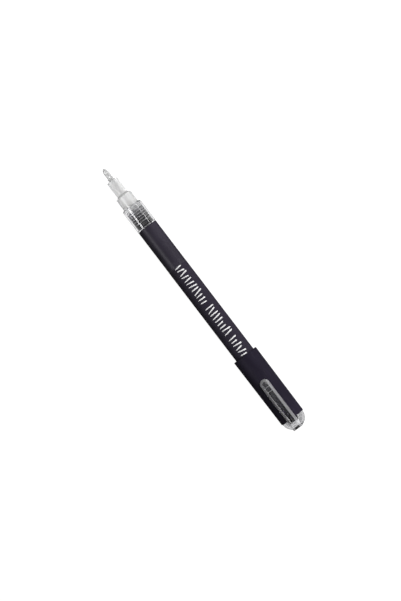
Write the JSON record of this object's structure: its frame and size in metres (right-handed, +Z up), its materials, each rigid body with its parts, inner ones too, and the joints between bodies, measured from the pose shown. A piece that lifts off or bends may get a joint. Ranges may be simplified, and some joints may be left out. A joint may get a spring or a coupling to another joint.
{
  "type": "brush pen",
  "caption": "Dark acrylic paint brush pen with a translucent stepped nozzle, see-through finned feed window, and a posted cap with a clear dome and clip.",
  "frame": {"origin": "centre of the pen's bounding box in plan, on the surface that the pen lies on", "axes": "+X along the pen from the brush tip to the posted cap's end, +Z up with the clip on top, +Y across"},
  "size_m": [0.1568, 0.0132, 0.015],
  "materials": {
    "tip_fibre": "white fine fibre, satin",
    "feed_fibre": "bundled fibre",
    "nozzle_clear": "frosted translucent",
    "window_clear": "clear polished plastic",
    "feed_white": "translucent white",
    "paint_black": "wet",
    "barrel_black": "satin moulded",
    "label_film": "matte film with white print",
    "ball_steel": "polished",
    "plug_black": "satin moulded",
    "cap_clear": "clear polished plastic",
    "liner_dark": "moulded",
    "sleeve_black": "satin moulded"
  },
  "bodies": {
    "pen": {"brush_tip": "tip_fibre", "feed_rod": "feed_fibre", "nozzle": "nozzle_clear", "window_section": "window_clear", "collector": "feed_white", "held_paint": "paint_black", "barrel": "barrel_black", "label_wrap": "label_film", "tail_plug": "plug_black"},
    "ball": {"mixing_ball": "ball_steel"},
    "cap": {"cap_shell": "cap_clear", "cap_liner": "liner_dark", "cap_sleeve": "sleeve_black"},
    "clip": {"cap_clip": "cap_clear"}
  },
  "joints": [
    {"name": "cap_pull", "type": "slide", "parent": "pen", "child": "cap", "axis": [1, 0, 0], "range_m": [0, 0.022]},
    {"name": "clip_flex", "type": "hinge", "parent": "cap", "child": "clip", "pos_m": [0.07462, 0, 0.01499], "axis": [0, 1, 0], "range_deg": [0, 6], "stiffness_Nm_per_rad": 1},
    {"name": "ball_travel", "type": "slide", "parent": "pen", "child": "ball", "axis": [1, 0, 0], "range_m": [0, 0.077]}
  ]
}
